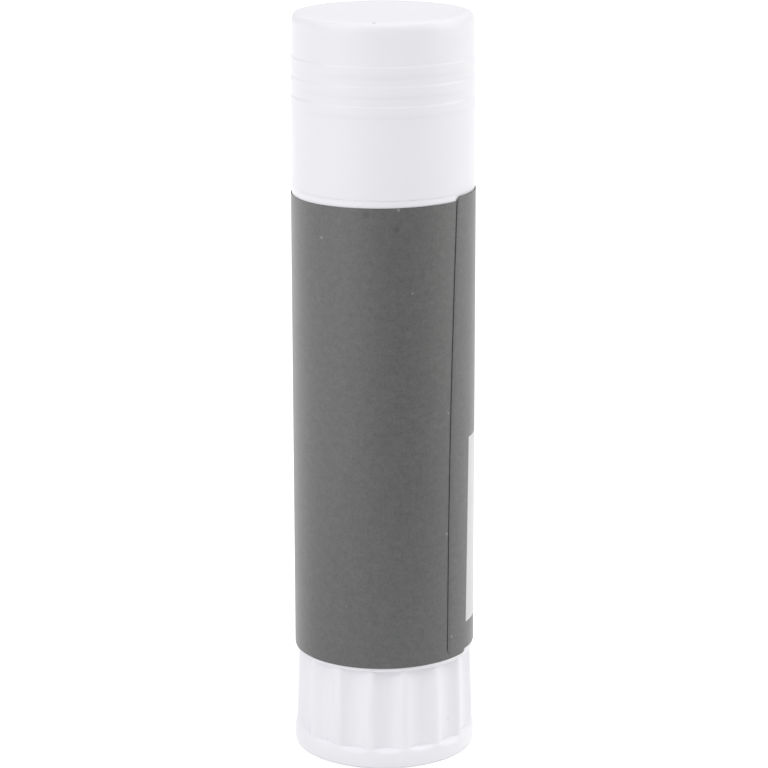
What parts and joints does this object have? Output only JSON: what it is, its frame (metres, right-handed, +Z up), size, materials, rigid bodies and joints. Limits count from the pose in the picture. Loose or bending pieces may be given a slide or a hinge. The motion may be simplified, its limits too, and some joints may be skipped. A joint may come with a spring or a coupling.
{
  "type": "glue stick",
  "caption": "Twist-up glue stick: a fluted knob turns a screw spindle that lifts the glue in its carrier through a labelled tube under a pull-off ribbed cap.",
  "frame": {"origin": "centre of the foot, on the surface the stick stands on", "axes": "+Z up along the tube towards the cap, -Y the front of the label, +X to the right of it"},
  "size_m": [0.03, 0.03, 0.1237],
  "materials": {
    "shell": "satin moulded white plastic",
    "inner": "satin moulded natural white plastic",
    "label": "satin printed film, dark grey, slightly mottled",
    "glue": "waxy off-white cast glue"
  },
  "bodies": {
    "tube": {"body_tube": "shell", "label": "label"},
    "knob": {"twist_knob": "shell", "screw_spindle": "inner"},
    "carrier": {"carrier_cup": "inner", "glue_rod": "glue"},
    "cap": {"cap": "shell"}
  },
  "joints": [
    {"name": "knob_turn", "type": "hinge", "parent": "tube", "child": "knob", "pos_m": [0, 0, 0], "axis": [0, 0, 1], "range_deg": [0, 4500]},
    {"name": "carrier_rise", "type": "slide", "parent": "tube", "child": "carrier", "axis": [0, 0, 1], "range_m": [0, 0.075]},
    {"name": "cap_pull", "type": "slide", "parent": "carrier", "child": "cap", "axis": [0, 0, 1], "range_m": [0, 0.045]}
  ],
  "couplings": [
    {"joint": "knob_turn", "follows": "carrier_rise", "rad_per_m": 1047.2}
  ]
}
